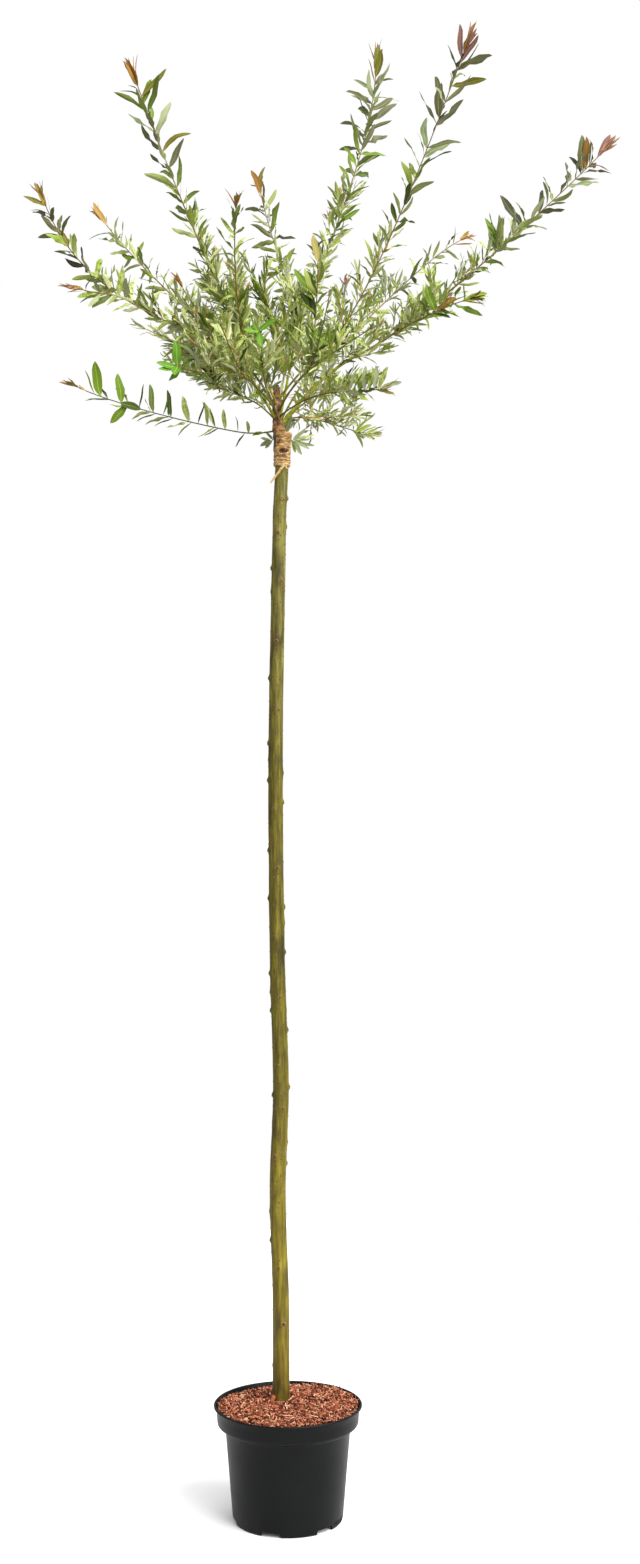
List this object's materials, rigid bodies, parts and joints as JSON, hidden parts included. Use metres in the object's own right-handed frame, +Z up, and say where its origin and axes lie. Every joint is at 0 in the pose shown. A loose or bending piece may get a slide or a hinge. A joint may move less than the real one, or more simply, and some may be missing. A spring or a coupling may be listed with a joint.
{
  "type": "potted dappled willow standard",
  "caption": "Small dappled willow grafted on a tall clear stem, with long leafy wands fanning from the graft, standing in a round nursery pot topped with bark chips.",
  "frame": {"origin": "middle of the pot's flat underside", "axes": "+Z up along the stem, +X to the right and -Y to the front, as the plant is seen from where the longest wand leans right"},
  "size_m": [0.735, 0.63, 1.947],
  "materials": {
    "pot_plastic": "satin black moulded plastic",
    "bark_chips": "rough fibrous chips",
    "stem_bark": "smooth olive green bark with brown pores",
    "graft_bark": "rough brown bark",
    "wrap_tape": "waxy tan tape and raffia",
    "bough_bark": "smooth green to tan bark",
    "leaf_green": "satin leaf",
    "leaf_dappled": "satin leaf dappled with cream",
    "leaf_bright": "glossy young leaf"
  },
  "bodies": {
    "root": {"pot": "pot_plastic", "bark_chips": "bark_chips", "stem": "stem_bark", "graft_wrap": "wrap_tape", "tie": "wrap_tape", "graft": "graft_bark", "bough_right": "bough_bark", "bough_left": "bough_bark", "bough_centre": "bough_bark", "bough_upper_left": "bough_bark", "bough_upper_right": "bough_bark", "bough_low_left": "bough_bark", "bough_low_right": "bough_bark", "bough_low_front": "bough_bark", "bough_right_back": "bough_bark", "bough_back": "bough_bark", "bough_back_left": "bough_bark", "bough_back_right": "bough_bark", "bough_back_low_left": "bough_bark", "bough_back_low_right": "bough_bark", "bough_front": "bough_bark", "bough_front_left": "bough_bark", "bough_front_right": "bough_bark", "leaves_heart_left": "leaf_dappled", "leaves_heart_right": "leaf_dappled", "leaves_heart_middle": "leaf_dappled", "leaves_heart_back": "leaf_dappled", "leaves_left": "leaf_green", "leaves_left_back": "leaf_green", "leaves_left_inner": "leaf_dappled", "leaves_left_shoot": "leaf_green", "leaves_upper_left": "leaf_green", "leaves_centre_front": "leaf_dappled", "leaves_centre_back": "leaf_dappled", "leaves_upper_centre": "leaf_green", "leaves_upper_right": "leaf_green", "leaves_right": "leaf_green", "leaves_right_shoot": "leaf_green", "leaves_right_back": "leaf_green", "leaves_low_left": "leaf_green", "leaves_low_right": "leaf_dappled", "leaves_low_front": "leaf_dappled", "leaves_green_left": "leaf_bright", "leaves_green_front": "leaf_bright", "leaves_front_left": "leaf_dappled", "leaves_front_right": "leaf_dappled", "leaves_front_far_right": "leaf_dappled", "leaves_yellow": "leaf_dappled", "leaves_back": "leaf_green", "leaves_back_left": "leaf_green", "leaves_back_far_left": "leaf_dappled", "leaves_back_right": "leaf_green", "leaves_back_low_left": "leaf_dappled", "leaves_back_low_right": "leaf_dappled", "leaves_low_sprig_right": "leaf_dappled", "leaves_low_sprig_left": "leaf_dappled"}
  },
  "joints": []
}
